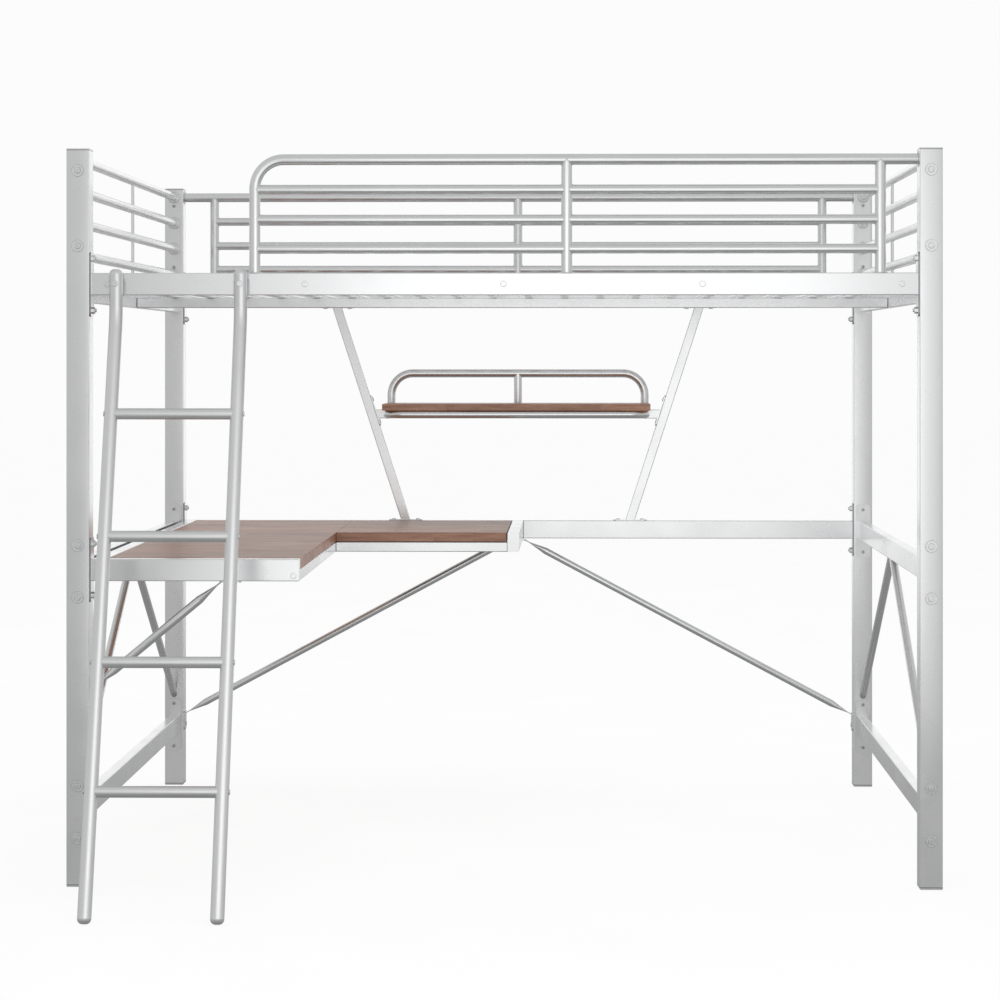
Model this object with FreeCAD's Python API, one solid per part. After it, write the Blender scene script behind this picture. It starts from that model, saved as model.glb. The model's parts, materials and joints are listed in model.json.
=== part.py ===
import FreeCAD, Part
import math, os
from FreeCAD import Vector

os.makedirs("parts", exist_ok=True)

# Loft bed with an L-shaped desk, in millimetres.
# X runs along the bed's length, Y from the ladder side to the back, Z up.
# The origin is on the floor, under the middle of the whole object, ladder included.

# Overall size over the posts
BED_LENGTH = 1980.0
BED_DEPTH = 1430.0
BED_HEIGHT = 1673.0

# Stock sizes
POST = 51.5                 # square corner post
POST_CORNER = 2.0
TUBE_WALL = 1.0
TUBE_CORNER = 2.0           # outer corner of the box tubes
RAIL_WIDE = 30.0            # thickness of the rails that run along X
END_RAIL_WIDE = 25.0        # thickness of the rails that run along Y at the two ends
SMALL_TUBE = 25.0           # square tube of beams, struts and desk bars
GUARD_TUBE = 25.0           # round top tubes and uprights
GUARD_BAR = 22.0
PLATE = 3.0                 # thickness of every end plate
PLATE_WIDE = 40.0
PLATE_CORNER = 8.0

# Bed level
BED_RAIL_Z = (1340.5, 1391.0)
BED_END_RAIL_Z = (1326.0, 1376.0)
CENTRE_BEAM_Z = (1325.0, 1350.0)
SLAT_COUNT = 20
SLAT_PITCH = 90.0
SLAT_WIDE = 22.0
SLAT_TALL = 14.0
SLAT_CORNER = 6.3
SLAT_END_GAP = 1.0
LEDGE_TALL = 38.0
LEDGE_DEEP = 22.0
LEDGE_END_GAP = 5.0
RAIL_BOLT_X = (-900.0, -450.0, 0.0, 450.0, 900.0)
UPPER_PLATE_Z = (1320.0, 1661.0)

# Guards
GUARD_TOP_Z = 1648.5
GUARD_BAR_Z = (1446.0, 1512.5, 1580.5)
FRONT_GUARD_LEG_X = -565.5
FRONT_UPRIGHT_X = (143.0, 852.5)
FRONT_GUARD_BEND = 66.0
BACK_UPRIGHT_X = (-853.5, 0.0, 852.5)
END_BAR_Z = (1431.5, 1504.0, 1576.0, 1648.0)
END_ROD = 8.0

# Desk level
DESK_RAIL_Z = (692.0, 742.0)
LOW_TUBE_Z = (692.0, 717.0)  # the lower tubes that the boards lie on
BOARD_THICK = 25.0
BOARD_EDGE = 1.2            # rounding of the boards' edges
BOARD_GAP = 2.0
SEAM_GAP = 0.5
WING_RIGHT_X = -463.0       # right edge of the wing board, left edge of the main board
WING_FRAME_X = -463.5       # right face of the wing's frame
DESK_RIGHT_RAIL_X = 0.0     # centre of the main desk's right side rail
DESK_FRONT = 892.0          # main desk's front edge, behind the front posts' front faces
WING_SIDE_GAP = 4.0         # between the posts' inner faces and the wing's left side rail

# End frames below the bed
LOW_RAIL_Z = (145.0, 195.0)
SMALL_PLATE_TALL = 146.0
V_BRACE = 20.0
V_BRACE_FOOT_Z = 258.0

# Bolts through the posts, along Y
POST_BOLT_Z = (110.0, 229.0, 656.0, 773.5, 1452.0, 1623.0)
# Studs on the posts' inner side faces, along X
BED_STUD_Z = (1306.0, 1424.0)
DESK_STUD_Z = (659.0, 776.0)

# Struts and shelf
STRUT_FOOT_X = 315.0
STRUT_HEAD_X = 507.0
STRUT_PLATE_LONG = 94.0
STRUT_PLATE_WIDE = 28.0
SHELF_RAIL_Z = (1028.0, 1053.0)
SHELF_TUBE = 21.0
SHELF_TUBE_Z = 1043.5
SHELF_BOARD_THICK = 18.0
SHELF_LEG_X = 355.5
SHELF_DEEP = 200.0
SHELF_BEND = 42.0
SHELF_GUARD_TUBE = 23.0
SHELF_GUARD_TOP_Z = 1154.5
SHELF_GUARD_BEND = 60.0
BRACKET_LONG = 90.0
BRACKET_Z = 1046.0
BRACKET_CORNER = 6.0
BRACKET_BOLT_OUT = 33.0     # from the middle of a bracket
STRUT_BOLT_OUT = 34.0       # from the middle of a strut's end plate

# Flattened-end braces
BRACE_TUBE = 19.0
BRACE_FLAT = 3.5            # thickness of the pressed ends and their tabs
BRACE_FLAT_WIDE = 27.0
BRACE_PRESSED = 15.0
BRACE_TAPER = 50.0
BACK_BRACE_FOOT_Z = 199.0
BACK_BRACE_HEAD_X = 20.0
BACK_TAB_X = (24.0, -15.0)  # towards the brace's own side, and past the middle
BACK_TAB_Z = (153.0, 206.0)
WING_BRACE_FOOT_Z = 446.0
WING_TAB_Z = (398.0, 453.0)
WING_BRACE_HEAD_X = -641.0
WING_TAB_X = (-645.0, -596.0)
TAB_BOLT_IN = 17.0          # bolt to the end of its tab

# Ladder
STILE_X = (-875.5, -593.5)
STILE = 30.0
STILE_TOP_Z = 1399.0
STILE_BEND_Z = 1290.0
STILE_BEND = 160.0
STILE_STANDOFF = 8.0        # stile axis in front of the posts' front faces
LADDER_RAKE = math.radians(16.25)
RUNG = 25.0
RUNG_COUNT = 4
RUNG_PITCH = 268.3
CAP_LONG = 14.0
CAP_ROUND = 11.0
STILE_PLUG = 8.0
SADDLE_WIDE = 33.0
SADDLE_Z = (1338.0, 1378.0)
SADDLE_WRAP = 6.0           # how far the saddle's horns reach past the stile's axis
SADDLE_CORNER = 5.0
STILE_BOLT_BITE = 25.0
RUNG_PLUG = 22.0            # solid length at each end of a rung

# Caps, plugs and fasteners
CAP_FLANGE = 2.5
FOOT_FLANGE = 4.0
PLUG_LONG = 14.0
BOLT = 8.0
SMALL_BOLT = 6.0
HOLE_CLEARANCE = 0.4        # on the diameter
FLANGE_HEAD = 28.0
FLANGE_THICK = 1.6
BUTTON_HEAD = 14.0
SMALL_HEAD = 12.0
HEAD_TALL = 2.4
SOCKET = 5.0
NUT_FLATS = 13.0
NUT_TALL = 6.5
STUD_OUT = 10.0             # how far a stud stands out of its plate
STUD_IN = 8.0               # how far a stud reaches into the post
BOLT_END_OUT = 5.0          # how far a post bolt stands out of its plate
BOLT_BITE = 13.0            # how far a bolt reaches into the piece that it holds
SHARED_BOLT_BITE = 6.0      # the same, at the back braces' shared bolt
SEAT_DEEP = 0.6             # flat seats for bolt heads on round tubes
SEAT_ROOM = 1.0
SCREW = 4.5
SCREW_HEAD = 9.0
SCREW_BITE = 13.0
SCREW_INSET = 60.0          # from the ends of a desk bar
SHELF_SCREW_INSET = 30.0    # from the shelf's cross rail

AXIS_X = Vector(1, 0, 0)
AXIS_Y = Vector(0, 1, 0)
AXIS_Z = Vector(0, 0, 1)
LEFT, RIGHT = -1, 1
FRONT, BACK = -1, 1

# Derived places
FOOT_END_Z = CAP_ROUND * (1 - math.cos(LADDER_RAKE)) + (STILE / 2 - CAP_ROUND) * math.sin(LADDER_RAKE)
FOOT_OUT = STILE_STANDOFF + (STILE_BEND_Z - FOOT_END_Z) * math.tan(LADDER_RAKE)
FRONT_REACH = (FOOT_OUT - CAP_ROUND * math.sin(LADDER_RAKE)
               + (STILE / 2 - CAP_ROUND) * math.cos(LADDER_RAKE) + CAP_ROUND)
BACK_REACH = FLANGE_THICK + HEAD_TALL
BED_MID_Y = (FRONT_REACH - BACK_REACH) / 2
FRONT_Y = BED_MID_Y - BED_DEPTH / 2
POST_X = BED_LENGTH / 2 - POST / 2
INNER_X = BED_LENGTH / 2 - POST
PLATE_X = INNER_X - PLATE
BOARD_TOP_Z = DESK_RAIL_Z[1] + 0.5
WING_RAIL_X = -INNER_X + WING_SIDE_GAP

parts = {}
drills = {}


# ---------------------------------------------------------------- helpers

def side_x(side, inset):
    """X at a distance in from the posts' outer side faces."""
    return side * (BED_LENGTH / 2 - inset)


def row_y(row, inset):
    """Y at a distance in from the outer faces of the front or back posts."""
    return BED_MID_Y + row * (BED_DEPTH / 2 - inset)


def about(centre, size):
    return (centre - size / 2, centre + size / 2)


def block(x, y, z):
    (x0, x1), (y0, y1), (z0, z1) = sorted(x), sorted(y), sorted(z)
    return Part.makeBox(x1 - x0, y1 - y0, z1 - z0, Vector(x0, y0, z0))


def round_along(solid, direction, radius):
    """Rounds the straight edges that run along a direction."""
    edges = []
    for edge in solid.Edges:
        straight = edge.Curve.TypeId == "Part::GeomLine"
        if straight and abs(edge.tangentAt(edge.FirstParameter).dot(direction)) > 0.999:
            edges.append(edge)
    return solid.makeFillet(radius, edges)


def plate(x, y, z, thin, corner=PLATE_CORNER):
    """Flat plate with rounded corners; thin is the direction of its thickness."""
    return round_along(block(x, y, z), thin, corner)


def box_tube(x, y, z, run, wall=TUBE_WALL, corner=TUBE_CORNER, closed_high=False):
    """Hollow square tube with rounded long edges; run is its direction."""
    outer = round_along(block(x, y, z), run, corner)
    bore = []
    for pair, along in zip((x, y, z), run):
        low, high = sorted(pair)
        if along:
            bore.append((low - 1, high - (wall if closed_high else -1)))
        else:
            bore.append((low + wall, high - wall))
    hollow = block(*bore)
    if corner > wall:
        hollow = round_along(hollow, run, corner - wall)
    return outer.cut(hollow)


def rod(start, end, diameter):
    return Part.makeCylinder(diameter / 2, (end - start).Length, start, end - start)


def round_tube(start, end, diameter, wall=TUBE_WALL):
    return rod(start, end, diameter).cut(rod(start, end, diameter - 2 * wall))


def bent_path(points, bend):
    """Straight runs joined by tangent arcs of one bend radius."""
    edges = []
    last = points[0]
    for before, corner, after in zip(points, points[1:], points[2:]):
        back = (before - corner).normalize()
        ahead = (after - corner).normalize()
        half = back.getAngle(ahead) / 2
        trim = bend / math.tan(half)
        middle = (back + ahead).normalize() * (bend / math.sin(half) - bend)
        start, end = corner + back * trim, corner + ahead * trim
        edges.append(Part.makeLine(last, start))
        edges.append(Part.Arc(start, corner + middle, end).toShape())
        last = end
    edges.append(Part.makeLine(last, points[-1]))
    return Part.Wire(edges)


def bent_rod(points, bend, diameter):
    ring = Part.Wire(Part.makeCircle(diameter / 2, points[0], points[1] - points[0]))
    return bent_path(points, bend).makePipeShell([ring], True, True)


def bent_tube(points, bend, diameter, wall=TUBE_WALL):
    return bent_rod(points, bend, diameter).cut(bent_rod(points, bend, diameter - 2 * wall))


def prism(outline, y):
    """Solid with an outline of (x, z) points, extruded along Y."""
    corners = [Vector(x, min(y), z) for x, z in outline]
    face = Part.Face(Part.makePolygon(corners + corners[:1]))
    return face.extrude(AXIS_Y * (max(y) - min(y)))


def hexagon(flats, height):
    radius = flats / math.sqrt(3)
    corners = [Vector(radius * math.cos(math.radians(60 * i)), radius * math.sin(math.radians(60 * i)), 0)
               for i in range(6)]
    return Part.Face(Part.makePolygon(corners + corners[:1])).extrude(AXIS_Z * height)


def facing(shape, point, outward):
    """Turns a shape drawn upright at the origin so that its +Z points outward from a point."""
    shape = shape.copy()
    shape.Placement = FreeCAD.Placement(point, FreeCAD.Rotation(AXIS_Z, outward))
    return shape


def mirrored(shape):
    return shape.mirror(Vector(0, 0, 0), AXIS_X)


def add(node, *solids):
    parts.setdefault(node, []).extend(solids)


def drill(node, point, outward, length, diameter, rise=1.0):
    """Notes a hole that starts rise above point and goes length below it."""
    hole = Part.makeCylinder(diameter / 2, length + rise, Vector(0, 0, -length))
    drills.setdefault(node, []).append(facing(hole, point, outward))


# ---------------------------------------------------------------- fasteners

def button_head(diameter, tall=HEAD_TALL):
    head = Part.makeCylinder(diameter / 2, tall)
    crown = [edge for edge in head.Edges if edge.BoundBox.ZMin > tall / 2]
    head = head.makeFillet(tall * 0.45, crown)
    return head.cut(hexagon(SOCKET, tall).translated(Vector(0, 0, tall * 0.4)))


def button_bolt(node, point, outward, length, through, head=BUTTON_HEAD, shank=BOLT):
    """Button-head bolt with its head on a surface, in clearance holes of the nodes it goes through."""
    body = Part.makeCylinder(shank / 2, length, Vector(0, 0, -length))
    add(node, facing(button_head(head).fuse(body).removeSplitter(), point, outward))
    for name in through:
        drill(name, point, outward, length + 1, shank + HOLE_CLEARANCE)


def flange_bolt(node, point, outward, length, through):
    """Bolt with a wide flat flange under its button head."""
    flange = Part.makeCylinder(FLANGE_HEAD / 2, FLANGE_THICK)
    rim = [edge for edge in flange.Edges if edge.BoundBox.ZMin > FLANGE_THICK / 2]
    flange = flange.makeChamfer(FLANGE_THICK * 0.4, rim)
    head = button_head(BUTTON_HEAD).translated(Vector(0, 0, FLANGE_THICK))
    shank = Part.makeCylinder(BOLT / 2, length, Vector(0, 0, -length))
    add(node, facing(flange.fuse(head).fuse(shank).removeSplitter(), point, outward))
    for name in through:
        drill(name, point, outward, length + 1, BOLT + HOLE_CLEARANCE)


def hex_nut(point, outward):
    nut = hexagon(NUT_FLATS, NUT_TALL).cut(Part.makeCylinder(BOLT / 2, NUT_TALL))
    add("hex_nuts", facing(nut, point, outward))


def plate_stud(point, outward, through):
    """Threaded stud out of a post's side face, through the plate at point, with its nut."""
    reach = PLATE + STUD_IN
    stud = Part.makeCylinder(BOLT / 2, reach + STUD_OUT, Vector(0, 0, -reach))
    add("plate_studs", facing(stud, point, outward))
    hex_nut(point, outward)
    for name in through:
        drill(name, point, outward, reach + 1, BOLT + HOLE_CLEARANCE)


# ---------------------------------------------------------------- posts

def post_name(row, side):
    return ("front" if row == FRONT else "back") + ("_left_post" if side == LEFT else "_right_post")


def post(row, side):
    x = about(side_x(side, POST / 2), POST)
    y = about(row_y(row, POST / 2), POST)
    add(post_name(row, side),
        box_tube(x, y, (FOOT_FLANGE, BED_HEIGHT - CAP_FLANGE), AXIS_Z, corner=POST_CORNER))

    inside = POST - 2 * TUBE_WALL
    plug = about(side_x(side, POST / 2), inside), about(row_y(row, POST / 2), inside)
    top = round_along(block(x, y, (BED_HEIGHT - CAP_FLANGE, BED_HEIGHT)), AXIS_Z, POST_CORNER)
    top_plug = block(*plug, (BED_HEIGHT - CAP_FLANGE - PLUG_LONG, BED_HEIGHT - CAP_FLANGE))
    top_plug = round_along(top_plug, AXIS_Z, POST_CORNER - TUBE_WALL)
    add("post_top_caps", top.fuse(top_plug).removeSplitter())

    foot = round_along(block(x, y, (0, FOOT_FLANGE)), AXIS_Z, POST_CORNER)
    foot = foot.makeChamfer(FOOT_FLANGE * 0.4, [edge for edge in foot.Edges if edge.BoundBox.ZMax < 0.01])
    foot_plug = block(*plug, (FOOT_FLANGE, FOOT_FLANGE + PLUG_LONG))
    foot_plug = round_along(foot_plug, AXIS_Z, POST_CORNER - TUBE_WALL)
    add("post_feet", foot.fuse(foot_plug).removeSplitter())


def end_frame_plate(node, row, side, z, bolt_heights):
    """Plate on a post's inner Y face, with bolts that come through the post from outside."""
    x = about(side_x(side, POST / 2), PLATE_WIDE)
    y = (row_y(row, POST), row_y(row, POST + PLATE))
    add(node, plate(x, y, z, AXIS_Y))
    outward = AXIS_Y * row
    for height in bolt_heights:
        point = Vector(side_x(side, POST / 2), row_y(row, 0), height)
        flange_bolt("end_frame_bolts", point, outward, POST + PLATE + BOLT_END_OUT,
                    (node, post_name(row, side)))


def rail_plate(row, side, stud_heights):
    """Plate on a post's inner side face, at the end of a long rail, on two studs."""
    middle = sum(stud_heights) / 2
    x = (side_x(side, POST), side_x(side, POST + PLATE))
    y = about(row_y(row, POST / 2), PLATE_WIDE)
    add("rail_end_plates", plate(x, y, about(middle, SMALL_PLATE_TALL), AXIS_X))
    for height in stud_heights:
        point = Vector(side_x(side, POST + PLATE), row_y(row, POST / 2), height)
        plate_stud(point, AXIS_X * -side, ("rail_end_plates", post_name(row, side)))


def plates():
    for side in (LEFT, RIGHT):
        for row in (FRONT, BACK):
            low, desk, upper = POST_BOLT_Z[:2], POST_BOLT_Z[2:4], POST_BOLT_Z[4:]
            end_frame_plate("end_rail_plates", row, side, about(sum(low) / 2, SMALL_PLATE_TALL), low)
            end_frame_plate("end_rail_plates", row, side, about(sum(desk) / 2, SMALL_PLATE_TALL), desk)
            end_frame_plate("upper_end_plates", row, side, UPPER_PLATE_Z, upper)
            rail_plate(row, side, BED_STUD_Z)
            if row == BACK or side == LEFT:
                rail_plate(row, side, DESK_STUD_Z)


# ---------------------------------------------------------------- bed

def long_rail(node, row):
    y = about(row_y(row, POST / 2), RAIL_WIDE)
    add(node, box_tube((-PLATE_X, PLATE_X), y, BED_RAIL_Z, AXIS_X))


def slat_ledge(row):
    """Angle bolted to the inside of a long rail; the slats lie on its lower leg."""
    rail_inside = (POST + RAIL_WIDE) / 2
    x = (-INNER_X + LEDGE_END_GAP, INNER_X - LEDGE_END_GAP)
    low = CENTRE_BEAM_Z[1] - PLATE
    upright = block(x, (row_y(row, rail_inside), row_y(row, rail_inside + PLATE)), (low, low + LEDGE_TALL))
    shelf = block(x, (row_y(row, rail_inside), row_y(row, rail_inside + LEDGE_DEEP)), (low, low + PLATE))
    add("slat_ledges", upright.fuse(shelf).removeSplitter())
    rail = "front_bed_rail" if row == FRONT else "back_bed_rail"
    bolt_z = sum(BED_RAIL_Z) / 2
    face = (POST - RAIL_WIDE) / 2
    for x in RAIL_BOLT_X:
        button_bolt("rail_bolts", Vector(x, row_y(row, face), bolt_z), AXIS_Y * row,
                    RAIL_WIDE + PLATE + NUT_TALL, (rail, "slat_ledges"))
        hex_nut(Vector(x, row_y(row, rail_inside + PLATE), bolt_z), AXIS_Y * -row)


def end_rail(node, side, z):
    """Rail along Y between the plates of an end frame."""
    x = about(side_x(side, POST / 2), END_RAIL_WIDE)
    add(node, box_tube(x, (row_y(FRONT, POST + PLATE), row_y(BACK, POST + PLATE)), z, AXIS_Y))


def centre_beam():
    end = POST_X - END_RAIL_WIDE / 2
    add("centre_beam", box_tube((-end, end), about(BED_MID_Y, SMALL_TUBE), CENTRE_BEAM_Z, AXIS_X))
    for side in (LEFT, RIGHT):
        point = Vector(side * (POST_X + END_RAIL_WIDE / 2), BED_MID_Y, sum(CENTRE_BEAM_Z) / 2)
        button_bolt("rail_bolts", point, AXIS_X * side, END_RAIL_WIDE + BOLT_BITE, ("bed_end_rails",))


def slats():
    inset = (POST + RAIL_WIDE) / 2 + PLATE + SLAT_END_GAP
    for i in range(SLAT_COUNT):
        x = (i - (SLAT_COUNT - 1) / 2) * SLAT_PITCH
        z = (CENTRE_BEAM_Z[1], CENTRE_BEAM_Z[1] + SLAT_TALL)
        add("bed_slats", box_tube(about(x, SLAT_WIDE), (row_y(FRONT, inset), row_y(BACK, inset)), z,
                                  AXIS_Y, corner=SLAT_CORNER))


# ---------------------------------------------------------------- guards

def upright_ends(x, row):
    y = row_y(row, POST / 2)
    return Vector(x, y, BED_RAIL_Z[1]), Vector(x, y, GUARD_TOP_Z)


def guard_upright(x, row, top_rod):
    return round_tube(*upright_ends(x, row), GUARD_TUBE).cut(top_rod)


def guard_bars(node, row, upright_x, frame_rod):
    """Bars between neighbouring uprights, their ends shaped to the uprights and the frame."""
    y = row_y(row, POST / 2)
    for left, right in zip(upright_x, upright_x[1:]):
        for z in GUARD_BAR_Z:
            bar = round_tube(Vector(left, y, z), Vector(right, y, z), GUARD_BAR).cut(frame_rod)
            for x in (left, right):
                bar = bar.cut(rod(*upright_ends(x, row), GUARD_TUBE))
            add(node, bar)


def front_guard():
    y = row_y(FRONT, POST / 2)
    line = [Vector(INNER_X, y, GUARD_TOP_Z), Vector(FRONT_GUARD_LEG_X, y, GUARD_TOP_Z),
            Vector(FRONT_GUARD_LEG_X, y, BED_RAIL_Z[1])]
    add("front_guard_frame", bent_tube(line, FRONT_GUARD_BEND, GUARD_TUBE))
    frame_rod = bent_rod(line, FRONT_GUARD_BEND, GUARD_TUBE)
    for x in FRONT_UPRIGHT_X:
        add("front_guard_uprights", guard_upright(x, FRONT, frame_rod))
    guard_bars("front_guard_bars", FRONT, (FRONT_GUARD_LEG_X,) + FRONT_UPRIGHT_X, frame_rod)


def back_guard():
    y = row_y(BACK, POST / 2)
    start, end = Vector(-INNER_X, y, GUARD_TOP_Z), Vector(INNER_X, y, GUARD_TOP_Z)
    add("back_guard_top_tube", round_tube(start, end, GUARD_TUBE))
    top_rod = rod(start, end, GUARD_TUBE)
    for x in BACK_UPRIGHT_X:
        add("back_guard_uprights", guard_upright(x, BACK, top_rod))
    guard_bars("back_guard_bars", BACK, BACK_UPRIGHT_X, top_rod)


def end_guard(node, side):
    """Four bars along Y and a thin upright rod at mid-depth, in lengths between the bars."""
    x = side_x(side, POST / 2)
    bars = []
    for z in END_BAR_Z:
        start, end = Vector(x, row_y(FRONT, POST + PLATE), z), Vector(x, row_y(BACK, POST + PLATE), z)
        add(node, round_tube(start, end, GUARD_BAR))
        bars.append(rod(start, end, GUARD_BAR))
    heights = (BED_END_RAIL_Z[1],) + END_BAR_Z
    for low, high in zip(heights, heights[1:]):
        length = rod(Vector(x, BED_MID_Y, low), Vector(x, BED_MID_Y, high), END_ROD)
        for bar in bars:
            length = length.cut(bar)
        add(node, length)


# ---------------------------------------------------------------- desk

def desk_back_rail():
    y = about(row_y(BACK, POST / 2), RAIL_WIDE)
    add("desk_back_rail", box_tube((-PLATE_X, PLATE_X), y, DESK_RAIL_Z, AXIS_X))


def wing_frame():
    """Front rail, left side rail and the lower inner rail under the wing board's right edge."""
    front_y = about(row_y(FRONT, POST / 2), RAIL_WIDE)
    run_y = (front_y[1], row_y(BACK, (POST + RAIL_WIDE) / 2))
    add("wing_front_rail", box_tube((-PLATE_X, WING_FRAME_X), front_y, DESK_RAIL_Z, AXIS_X, closed_high=True))
    add("wing_side_rail", box_tube((WING_RAIL_X, WING_RAIL_X + RAIL_WIDE), run_y, DESK_RAIL_Z, AXIS_Y))
    inner_x = (WING_FRAME_X - SMALL_TUBE, WING_FRAME_X)
    add("wing_inner_rail", box_tube(inner_x, run_y, LOW_TUBE_Z, AXIS_Y))

    side_centre = WING_RAIL_X + RAIL_WIDE / 2
    inner_centre = WING_FRAME_X - SMALL_TUBE / 2
    low_z = sum(LOW_TUBE_Z) / 2
    back_face = row_y(BACK, (POST - RAIL_WIDE) / 2)
    length = RAIL_WIDE + BOLT_BITE
    for x in (side_centre, inner_centre):
        button_bolt("rail_bolts", Vector(x, front_y[0], low_z), -AXIS_Y, length, ("wing_front_rail",))
    for x in (side_centre, inner_centre, DESK_RIGHT_RAIL_X):
        button_bolt("rail_bolts", Vector(x, back_face, low_z), AXIS_Y, length, ("desk_back_rail",))


def main_desk_frame():
    """Lower apron under the main board's front edge and the full-height rail at its right."""
    front = FRONT_Y + DESK_FRONT
    right_x = about(DESK_RIGHT_RAIL_X, RAIL_WIDE)
    back = row_y(BACK, (POST + RAIL_WIDE) / 2)
    side = box_tube(right_x, (-back, -front), DESK_RAIL_Z, AXIS_Y, closed_high=True)
    add("desk_side_rail", side.mirror(Vector(0, 0, 0), AXIS_Y))
    add("desk_front_apron",
        box_tube((WING_FRAME_X, right_x[0]), (front, front + SMALL_TUBE), LOW_TUBE_Z, AXIS_X))


def desk_cross_bars():
    """Tubes under the boards; each board is screwed to them from below."""
    back = row_y(BACK, (POST + RAIL_WIDE) / 2)
    wing_x = (WING_RAIL_X + RAIL_WIDE, WING_FRAME_X - SMALL_TUBE)
    main_x = (WING_FRAME_X, DESK_RIGHT_RAIL_X - RAIL_WIDE / 2)
    front = row_y(FRONT, (POST + RAIL_WIDE) / 2)
    inset = SMALL_TUBE
    spans = [(wing_x, front + inset, "wing_desktop"), (wing_x, (front + back) / 2, "wing_desktop"),
             (wing_x, back - inset, "wing_desktop"), (main_x, back - inset, "main_desktop")]
    for x, y, board_above in spans:
        add("desk_cross_bars", box_tube(x, about(y, SMALL_TUBE), LOW_TUBE_Z, AXIS_X))
        for screw_x in (x[0] + SCREW_INSET, x[1] - SCREW_INSET):
            board_screw(Vector(screw_x, y, LOW_TUBE_Z[0]), SMALL_TUBE + SCREW_BITE,
                        ("desk_cross_bars", board_above))


def board_screw(point, length, through):
    """Pan-head screw driven up into a board."""
    button_bolt("board_screws", point, -AXIS_Z, length, through, head=SCREW_HEAD, shank=SCREW)


def board(x, y, z):
    solid = block(x, y, z)
    return solid.makeFillet(BOARD_EDGE, solid.Edges)


def desktops():
    """Two boards that lie inside the frame, flush with its top, and meet at a seam."""
    z = (BOARD_TOP_Z - BOARD_THICK, BOARD_TOP_Z)
    back = row_y(BACK, (POST + RAIL_WIDE) / 2 + BOARD_GAP)
    wing_x = (WING_RAIL_X + RAIL_WIDE + BOARD_GAP, WING_RIGHT_X)
    wing_y = (row_y(FRONT, (POST + RAIL_WIDE) / 2 + BOARD_GAP), back)
    main_x = (WING_RIGHT_X + SEAM_GAP, DESK_RIGHT_RAIL_X - RAIL_WIDE / 2 - BOARD_GAP)
    add("wing_desktop", board(wing_x, wing_y, z))
    add("main_desktop", board(main_x, (FRONT_Y + DESK_FRONT, back), z))


# ---------------------------------------------------------------- braces

def v_brace(node, side):
    """Two round tubes from the middle of the desk end rail down to the two posts."""
    x = side_x(side, POST / 2)
    top_z = DESK_RAIL_Z[0]
    frame = block(about(x, POST), (row_y(FRONT, POST), row_y(BACK, POST)), (0, top_z))
    for row in (FRONT, BACK):
        foot = Vector(x, row_y(row, POST), V_BRACE_FOOT_Z)
        rise, run = top_z - V_BRACE_FOOT_Z, BED_DEPTH / 2 - POST
        half_cut = V_BRACE / 2 * math.hypot(rise, run) / rise
        head = Vector(x, BED_MID_Y + row * half_cut, top_z)
        along = (head - foot).normalize() * V_BRACE
        long_tube = round_tube(foot - along, head + along, V_BRACE)
        near_half = block(about(x, POST), (BED_MID_Y, row_y(row, POST)), (0, top_z))
        add(node, long_tube.common(frame).common(near_half))


def section(outline, point, run):
    """Places a brace section, drawn flat with its width along X, across the run with its width along Y."""
    outline = outline.copy()
    outline.Placement = FreeCAD.Placement(point, FreeCAD.Rotation(AXIS_Y, Vector(), run, "ZXY"))
    return outline


def flat_ended_brace(start, end, tabs):
    """Round tube in an X-Z plane, pressed flat at both ends and welded to its tabs."""
    run = (end - start).normalize()
    length = (end - start).Length
    origin = Vector(0, 0, 0)
    flat = Part.Wire(Part.Ellipse(origin, BRACE_FLAT_WIDE / 2, BRACE_FLAT / 2).toShape())
    circle = Part.Wire(Part.Circle(origin, AXIS_Z, BRACE_TUBE / 2).toShape())
    round_from = BRACE_PRESSED + BRACE_TAPER
    places = [(flat, 0), (flat, BRACE_PRESSED), (circle, round_from),
              (circle, length - round_from), (flat, length - BRACE_PRESSED), (flat, length)]
    rings = [section(outline, start + run * distance, run) for outline, distance in places]
    brace = Part.makeLoft(rings, True, True)
    bore = rod(start + run * round_from, start + run * (length - round_from), BRACE_TUBE - 2 * TUBE_WALL)
    brace = brace.cut(bore)
    for tab in tabs:
        brace = brace.fuse(tab)
    return brace


def tab_on_post(side, row, z):
    x = (side_x(side, POST), side_x(side, POST + BRACE_FLAT))
    return plate(x, about(row_y(row, POST / 2), BRACE_FLAT_WIDE), z, AXIS_X)


def tab_under_rail(x, row, top):
    return plate(x, about(row_y(row, POST / 2), BRACE_FLAT_WIDE), (top - BRACE_FLAT, top), AXIS_Z)


def back_brace(node, side, top):
    """Diagonal from the middle of the desk's back rail down to a back post."""
    y = row_y(BACK, POST / 2)
    foot = Vector(side_x(side, POST + BRACE_FLAT / 2), y, BACK_BRACE_FOOT_Z)
    head = Vector(side * BACK_BRACE_HEAD_X, y, top - BRACE_FLAT / 2)
    head_tab = tab_under_rail([side * x for x in BACK_TAB_X], BACK, top)
    tabs = [tab_on_post(side, BACK, BACK_TAB_Z), head_tab]
    add(node, flat_ended_brace(foot, head, tabs))
    bolt = Vector(side_x(side, POST + BRACE_FLAT), y, BACK_TAB_Z[0] + TAB_BOLT_IN)
    button_bolt("bracket_bolts", bolt, AXIS_X * -side, BOLT_BITE, (node, post_name(BACK, side)),
                head=SMALL_HEAD, shank=SMALL_BOLT)


def back_braces():
    """The two heads overlap under the rail, one tab below the other, on one bolt."""
    top = DESK_RAIL_Z[0]
    back_brace("left_back_brace", LEFT, top)
    back_brace("right_back_brace", RIGHT, top - BRACE_FLAT)
    length = 2 * BRACE_FLAT + SHARED_BOLT_BITE
    button_bolt("bracket_bolts", Vector(0, row_y(BACK, POST / 2), top - 2 * BRACE_FLAT), -AXIS_Z, length,
                ("left_back_brace", "right_back_brace", "desk_back_rail"), head=SMALL_HEAD, shank=SMALL_BOLT)


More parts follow.
